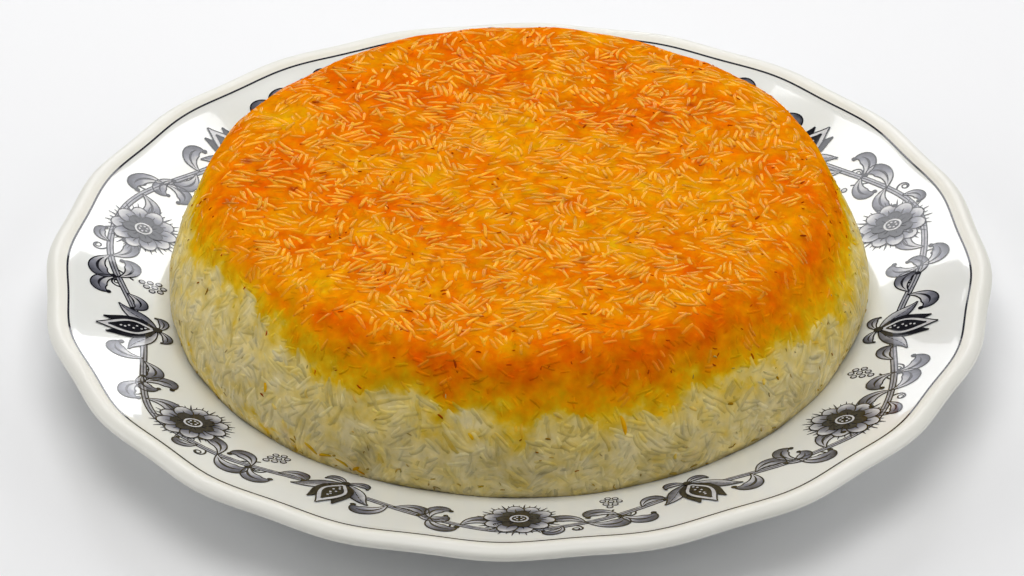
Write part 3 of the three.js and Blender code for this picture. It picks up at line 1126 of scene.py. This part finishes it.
def modelGrain(name, opts):
    # a ball drawn out along X, with its ends swelled so that they are blunt
    deselectAll()
    bpy.ops.mesh.primitive_uv_sphere_add(
        segments=opts["sides"], ring_count=opts["rings"], radius=0.5, location=(0, 0, 0))
    grain = bpy.context.object
    grain.name = name
    bpy.ops.object.mode_set(mode="EDIT")
    bpy.ops.mesh.select_all(action="SELECT")
    bpy.ops.transform.rotate(value=math.pi / 2, orient_axis="Y", center_override=(0, 0, 0))
    bpy.ops.object.mode_set(mode="OBJECT")
    places = pointsOf(grain)
    reach = np.clip(np.abs(places[:, 0]) * 2, 0, 1)
    across = np.sqrt(np.clip(1 - reach ** 2, 1e-6, 1))
    swollen = np.sqrt(np.clip(1 - reach ** opts["bluntness"], 0, 1)) / across
    places[:, 1] *= swollen
    places[:, 2] *= swollen
    setPoints(grain, places)
    faces = [tuple(face.vertices) for face in grain.data.polygons]
    bpy.data.objects.remove(grain)
    return places, faces


def mapScale(along):
    # the map is stretched sideways on the wall, where the true radius is less than the distance along
    radius = np.interp(along, skin["along"], skin["radius"])
    return np.where(along > 1, along / np.maximum(radius, 1e-6), 1)


def grainMap(grains, t, aside):
    # map places of points t along (-0.5 to 0.5) and aside (mm) of each grain
    along = np.hypot(grains["x"], grains["y"])
    outX = (grains["x"] / np.maximum(along, 1e-6))[:, None]
    outY = (grains["y"] / np.maximum(along, 1e-6))[:, None]
    length = grains["length"][:, None]
    arch = 1 - 4 * t ** 2
    forward = t * length
    sideways = aside + length * arch * (grains["bend"][:, None] + grains["sway"][:, None] * 4 * t)
    cos = np.cos(grains["heading"])[:, None]
    sin = np.sin(grains["heading"])[:, None]
    dx = forward * cos - sideways * sin
    dy = forward * sin + sideways * cos
    outPart = dx * outX + dy * outY
    roundPart = (dy * outX - dx * outY) * mapScale(along)[:, None]
    x = grains["x"][:, None] + outPart * outX - roundPart * outY
    y = grains["y"][:, None] + outPart * outY + roundPart * outX
    return x, y


def someOf(grains, chosen):
    return {key: value[chosen] for key, value in grains.items()}


def flowHeading(places):
    # the way most grains lie, which turns slowly across the map
    return 1.7 * waves(places, 24, 51) + 0.5 * waves(places, 9, 52)


def dropBundles(opts, tries, sizeFactor, reach):
    # bundles of grains side by side, thrown anywhere on the map
    members = dice.choice((1, 2, 3, 4), tries, p=opts["bundles"])
    bundle = np.repeat(np.arange(tries), members)
    count = len(bundle)
    place = np.arange(count) - np.repeat(np.cumsum(members) - members, members)
    aside = (place - (members[bundle] - 1) / 2) * opts["pitch"] + dice.normal(0, 0.15, count)
    ahead = dice.normal(0, 1.3, count)
    centre = dice.uniform(-reach, reach, (tries, 2))
    heading = flowHeading(centre) + np.radians(dice.normal(0, opts["flowSpread"], tries))
    heading = np.where(dice.uniform(0, 1, tries) < opts["flowShare"], heading, dice.uniform(0, 2 * math.pi, tries))
    centre = centre[bundle]
    heading = heading[bundle]
    grains = {
        "x": centre[:, 0] + ahead * np.cos(heading) - aside * np.sin(heading),
        "y": centre[:, 1] + ahead * np.sin(heading) + aside * np.cos(heading),
        "heading": heading + np.radians(dice.normal(0, 5, count)),
        "length": dice.uniform(*opts["length"], count) * sizeFactor,
        "width": dice.uniform(*opts["width"], count),
        "bend": dice.normal(0, opts["bend"], tries)[bundle] + dice.normal(0, 0.015, count),
        "sway": dice.normal(0, opts["sway"], count),
        "lot": dice.uniform(0, 1, tries)[bundle],
    }
    return someOf(grains, np.hypot(grains["x"], grains["y"]) < reach)


def layGrains(opts):
    # grains stay where they cover few others
    reach = skinEnd - 1.0
    cell = 0.3
    margin = 30
    side = int(2 * reach / cell) + 2 * margin
    taken = np.zeros((side, side), bool)
    t, a = [grid.ravel() for grid in np.meshgrid(np.linspace(-0.45, 0.45, 15), np.linspace(-0.4, 0.4, 4))]
    kept = []
    for tries, crowding, sizeFactor in opts["passes"]:
        grains = dropBundles(opts, tries, sizeFactor, reach)
        x, y = grainMap(grains, t[None, :], a[None, :] * grains["width"][:, None])
        column = ((x + reach) / cell + margin).astype(int)
        row = ((y + reach) / cell + margin).astype(int)
        stays = np.zeros(len(x), bool)
        for i in range(len(x)):
            if taken[row[i], column[i]].mean() <= crowding:
                taken[row[i], column[i]] = True
                stays[i] = True
        kept.append(someOf(grains, stays))
    return {key: np.concatenate([part[key] for part in kept]) for key in kept[0]}


def mapToSkin(grains):
    return skinPoint(np.hypot(grains["x"], grains["y"]), np.arctan2(grains["y"], grains["x"]))


def grainMesh(name, grains, model, stand, pale, material, cap=0):
    # every grain is the one model, bent along the skin, in one joined mesh
    shape, shapeFaces = model
    count = len(grains["x"])
    corners = len(shape)
    thick = dice.uniform(*grainSet["thickness"], count) * grains["width"] / np.mean(grainSet["width"])
    if cap:
        thick = thick * standSet["whiteFlatness"]
    if "thick" in grains:
        thick = grains["thick"]
    lean = dice.normal(0, grainSet["lean"], count) * thick
    taper = dice.uniform(-0.18, 0.18, count)
    chance = dice.uniform(0.56 if cap else 0.66, 1, count)
    ownTint = dice.exponential(0.010 if cap else 0.0, count)
    t = np.broadcast_to(shape[:, 0], (count, corners))
    narrow = 1 + taper[:, None] * t * 2
    x, y = grainMap(grains, t, shape[None, :, 1] * grains["width"][:, None] * narrow)
    lift = stand - coreSet["inset"] - thick / 2
    up = lift[:, None] + lean[:, None] * t * 2 + shape[None, :, 2] * (thick[:, None] * narrow)
    if cap:
        over = np.clip(up + coreSet["inset"] - cap * 0.6, 0, None)
        up = up - over + cap * 0.4 * (1 - np.exp(-over / (cap * 0.4)))
    along = np.minimum(np.hypot(x, y).ravel(), skinEnd)
    places, normals = skinPoint(along, np.arctan2(y, x).ravel())
    places = places + normals * up.ravel()[:, None]
    middle, _ = mapToSkin(grains)
    middleSaffron, middleToast = stainAt(middle)
    hereSaffron, hereToast = stainAt(places)
    shift = 0.16 * (chance - 0.84) * smoothStep(0.15, 0.4, middleSaffron) + ownTint
    saffron = np.repeat(middleSaffron + shift, corners) * 0.65 + hereSaffron * 0.35
    toast = np.repeat(middleToast, corners) * 0.3 + hereToast * 0.7
    if "toast" in grains:
        toast = np.repeat(grains["toast"], corners)
        saffron = np.repeat(grains["saffron"], corners)
        chance = grains["chance"]
    floorHeight = plateTop(np.hypot(places[:, 0], places[:, 1])) + 0.05
    places[:, 2] = np.maximum(places[:, 2], floorHeight)
    faces = []
    for i in range(count):
        first = i * corners
        faces += [tuple(first + corner for corner in face) for face in shapeFaces]
    obj = meshFromArrays(name, places, faces)
    # the ridge is the top of each grain, where the painted highlight lies
    ridge = np.tile(smoothStep(0.24, 0.42, shape[:, 2]), count)
    # painted shade in the hollows between white grains
    lightness = np.repeat(chance, corners) + 0.06 * waves(places, 5, 42) - spotSum(places, hollowShadeSpots)
    # painted shadow at the foot
    lightness = lightness - 0.85 * footShade(places)
    # painted shade on the flanks below a painted highlight: darker and a deeper orange
    lightness = lightness - standSet["flankShade"] * (1 - ridge) * np.repeat(pale, corners)
    saffron = saffron + standSet["flankShadeOrange"] * (1 - ridge) * np.repeat(pale, corners)
    masks = np.stack([np.clip(saffron, 0, 1), np.clip(toast, 0, 0.95), np.clip(lightness, 0, 1),
                      ridge * np.repeat(pale, corners)], axis=1)
    setMasks(obj, "stain", masks)
    obj.data.materials.append(material)
    smoothShade(obj, 80)
    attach(obj, "root")
    print(name, count, "grains,", 2 * len(places) - 4 * count, "triangles")
    return obj


# bits pressed into the surface, and dark bits of painted shade: how many, distances along the skin, angles, lengths,
# widths, browning, saffron and lightness
fleckSet = {
    "shoulderThreads": (100, (84, 112), (0, 360), (0.7, 2.4), (0.26, 0.50), (0.50, 0.95), (1.0, 1.0), (0.4, 0.9)),
    "crustThreads": (90, (5, 86), (0, 360), (0.7, 2.0), (0.26, 0.55), (0.45, 0.95), (1.0, 1.0), (0.4, 0.9)),
    "whiteThreads": (8, (112, 132), (180, 360), (0.9, 1.8), (0.32, 0.52), (0.20, 0.50), (0.2, 0.4), (0.0, 0.3)),
    # the next two are dark bits of painted shade, in the hollows of the white rice and at the foot
    "hollowShadeBits": (120, (106, 137), (0, 360), (0.7, 2.2), (0.30, 0.55), (0.0, 0.10), (0.03, 0.16), (0.05, 0.5)),
    "footShadeBits": (60, (134, 140), (180, 360), (1.0, 3.0), (0.35, 0.8), (0.0, 0.20), (0.06, 0.20), (0.0, 0.45)),
    "yellowEnds": (16, (108, 136), (0, 360), (1.4, 4.2), (0.7, 1.2), (0.0, 0.04), (0.10, 0.17), (0.70, 0.95)),
    "footBrowns": (2, (135, 139), (226, 246), (2.0, 5.0), (0.8, 1.5), (0.05, 0.25), (0.20, 0.34), (0.5, 0.9)),
}


# single bits: distance along the skin, angle, turn from the way down, length, width, browning, saffron, lightness
# the dark bits with little browning (lightness 0.1 or less, browning 0.3 or less) are painted shade in hollows of the
# white rice and at the foot, some with a little browning too
singleBits = (
    (118.5, 286.5, 8, 7.0, 1.7, 0.02, 0.28, 0.95), (114.5, 257.5, 55, 2.6, 0.9, 0.80, 0.60, 0.35),
    (120.0, 274.5, 80, 1.7, 0.6, 0.30, 0.20, 0.0), (125.5, 225.5, 75, 2.6, 1.0, 0.85, 0.50, 0.10),
    (122.8, 225.6, 20, 4.2, 1.7, 0.0, 0.23, 0.95), (135.5, 236.0, 60, 5.5, 1.5, 0.05, 0.20, 0.55),
    (136.0, 239.0, 105, 6.0, 1.6, 0.06, 0.21, 0.50), (137.0, 241.5, 60, 5.0, 1.3, 0.04, 0.18, 0.55),
    (139.3, 294.5, 70, 3.0, 1.1, 0.0, 0.12, 0.0), (138.5, 298.0, 95, 2.6, 0.8, 0.0, 0.12, 0.05),
    (138.8, 310.0, 80, 3.4, 1.0, 0.0, 0.14, 0.0), (138.0, 314.0, 60, 2.6, 0.8, 0.0, 0.12, 0.05),
    (121.5, 315.5, 30, 1.9, 0.9, 0.20, 0.20, 0.1), (122.0, 305.5, 70, 2.0, 0.9, 0.20, 0.20, 0.1),
    (111.5, 203.5, 10, 2.6, 0.7, 0.30, 0.20, 0.1), (119.5, 262.5, 40, 2.6, 1.0, 0.0, 0.22, 0.8),
    (80.5, 246.5, 95, 4.2, 1.0, 0.85, 1.0, 0.35), (93.5, 339.5, 40, 3.2, 1.2, 0.90, 1.0, 0.35),
    (98.5, 259.0, 20, 3.6, 1.0, 0.85, 1.0, 0.30), (111.5, 312.0, 15, 2.8, 1.0, 0.60, 0.60, 0.25),
    (36.5, 53.5, 10, 3.4, 1.1, 0.85, 1.0, 0.50), (69.5, 185.5, 60, 3.0, 1.3, 0.85, 1.0, 0.50),
    (77.5, 342.0, 70, 3.0, 1.2, 0.80, 1.0, 0.50), (53.0, 107.5, 30, 2.8, 1.2, 0.85, 1.0, 0.55),
    (61.0, 177.5, 20, 3.2, 0.9, 0.80, 1.0, 0.45), (44.0, 203.5, 100, 2.8, 0.9, 0.75, 1.0, 0.50),
    (89.0, 357.0, 50, 2.6, 1.0, 0.80, 1.0, 0.50), (67.0, 233.5, 40, 3.0, 1.0, 0.75, 1.0, 0.50),
    (104.5, 6.0, 0, 3.0, 0.9, 0.70, 0.9, 0.40), (50.5, 60.0, 80, 3.0, 1.2, 0.80, 1.0, 0.55),
    (47.0, 38.5, 70, 2.6, 1.0, 0.80, 1.0, 0.50), (79.0, 145.5, 30, 3.0, 1.2, 0.70, 1.0, 0.50),
)


def placeSingles(rows):
    along, angle, turn, length, width, toast, saffron, chance = np.array(rows).T
    angle = np.radians(angle)
    count = len(rows)
    browned = toast > 0.5
    length = np.where(browned, 0.8 * length, length)
    width = np.where(browned, 0.66 * width, width)
    chance = np.where(browned, chance + 0.15, chance)
    return {
        "x": along * np.cos(angle), "y": along * np.sin(angle), "heading": angle + np.radians(turn),
        "length": length, "width": width, "thick": np.maximum(width * 0.5, 0.4), "bend": np.full(count, 0.06),
        "sway": np.zeros(count), "toast": toast, "saffron": saffron, "chance": chance,
    }


def scatterFlecks(opts, model, material):
    parts = [placeSingles(singleBits)]
    for count, reach, angles, lengths, widths, toasts, saffrons, lights in opts.values():
        along = np.sqrt(dice.uniform(reach[0] ** 2, reach[1] ** 2, count))
        angle = np.radians(dice.uniform(*angles, count))
        parts.append({
            "x": along * np.cos(angle), "y": along * np.sin(angle), "heading": dice.uniform(0, math.pi, count),
            "length": lengths[0] + np.ptp(lengths) * dice.beta(1.3, 2.4, count),
            "width": dice.uniform(*widths, count), "thick": np.full(count, 0.34),
            "bend": dice.normal(0, 0.10, count), "sway": np.zeros(count),
            "toast": dice.uniform(*toasts, count), "saffron": dice.uniform(*saffrons, count),
            "chance": dice.uniform(*lights, count),
        })
    flecks = {key: np.concatenate([part[key] for part in parts]) for key in parts[0]}
    flecks = someOf(flecks, np.hypot(flecks["x"], flecks["y"]) < footAlong(np.arctan2(flecks["y"], flecks["x"]), 0.4))
    count = len(flecks["x"])
    stand = dice.uniform(0.20, 0.34, count)
    grainMesh("pressed_bits_and_shade_bits", flecks, model, stand, np.zeros(count), material)


def scatterRice(opts, glazeMaterial, grainMaterial, whiteMaterial):
    model = modelGrain("one_grain", opts)
    grains = layGrains(opts)
    angle = np.arctan2(grains["y"], grains["x"])
    grains = someOf(grains, np.hypot(grains["x"], grains["y"]) < footAlong(angle, -0.3))
    along = np.hypot(grains["x"], grains["y"])
    saffron, _ = stainAt(mapToSkin(grains)[0])
    onTop = along < cakeSet["flatRadius"] + 3
    white = ~onTop & (saffron < 0.12)
    level = np.clip(1 - (along - standSet["shoulder"][0]) / np.ptp(standSet["shoulder"]), 0, 1)
    share = standSet["raisedShareOnWall"] + (standSet["raisedShare"] - standSet["raisedShareOnWall"]) * level
    raised = ~white & (grains["lot"] < share)
    grains["width"] = grains["width"] * np.where(raised, standSet["slim"], np.where(white, standSet["whiteWidth"], 1))
    count = len(along)
    stand = np.where(onTop, dice.uniform(*standSet["flush"], count), dice.uniform(*standSet["stained"], count))
    high = dice.uniform(*standSet["raised"], count) * level + dice.uniform(*standSet["raisedOnWall"], count) * (1 - level)
    stand = np.where(raised, high, stand)
    stand = np.where(white, dice.uniform(*standSet["white"], count), stand)
    # how strong the painted highlight on each grain's top is: strong on raised grains, faint on flush ones
    pale = dice.uniform(0.45, 1.0, count) * (0.3 + 0.7 * level)
    pale = np.where(raised, pale, standSet["flushHighlight"] * dice.uniform(0, 1, count) ** 2 * level)
    for name, chosen, material, slot, cap in (
            ("crust_grains", raised, grainMaterial, "saffron_crust", 0),
            ("sunken_grains", ~raised & ~white, glazeMaterial, "saffron_crust", 0),
            ("white_grains", white, whiteMaterial, "white_rice", standSet["whiteCap"])):
        grainMesh(name, someOf(grains, chosen), model, stand[chosen], pale[chosen], material, cap)
    scatterFlecks(fleckSet, model, glazeMaterial)


# build it all

makeCamera(cameraSet)
for lampName in ("key", "front", "left", "right", "backLeft", "backRight", "lowLeft", "lowRight"):
    makeLamp(lampName, lightSet[lampName])
makeSky(lightSet)
makeFloor(floorSet)
bpy.context.scene.view_settings.view_transform = "Standard"
print("stage ready")

riceColour = makeRiceColourGroup(riceColours)
riceMaterials = {name: makeRiceMaterial(name, opts, riceColour) for name, opts in riceFinishes.items()}
makePlate(plateSet, makeChinaMaterial("glazedChina", chinaFinish), makeChinaMaterial("lipGlaze", lipFinish))
print("plate ready")
makeBorder(borderSet, makeInkMaterial(inkFinish))
print("border ready")
makeWhiteCore(coreSet, riceMaterials["whiteBed"])
makeSaffronCore(coreSet, riceMaterials["crustBed"])
print("cores ready")
scatterRice(grainSet, riceMaterials["crustGlaze"], riceMaterials["crustGrain"], riceMaterials["whiteRiceSatin"])
print("rice ready")
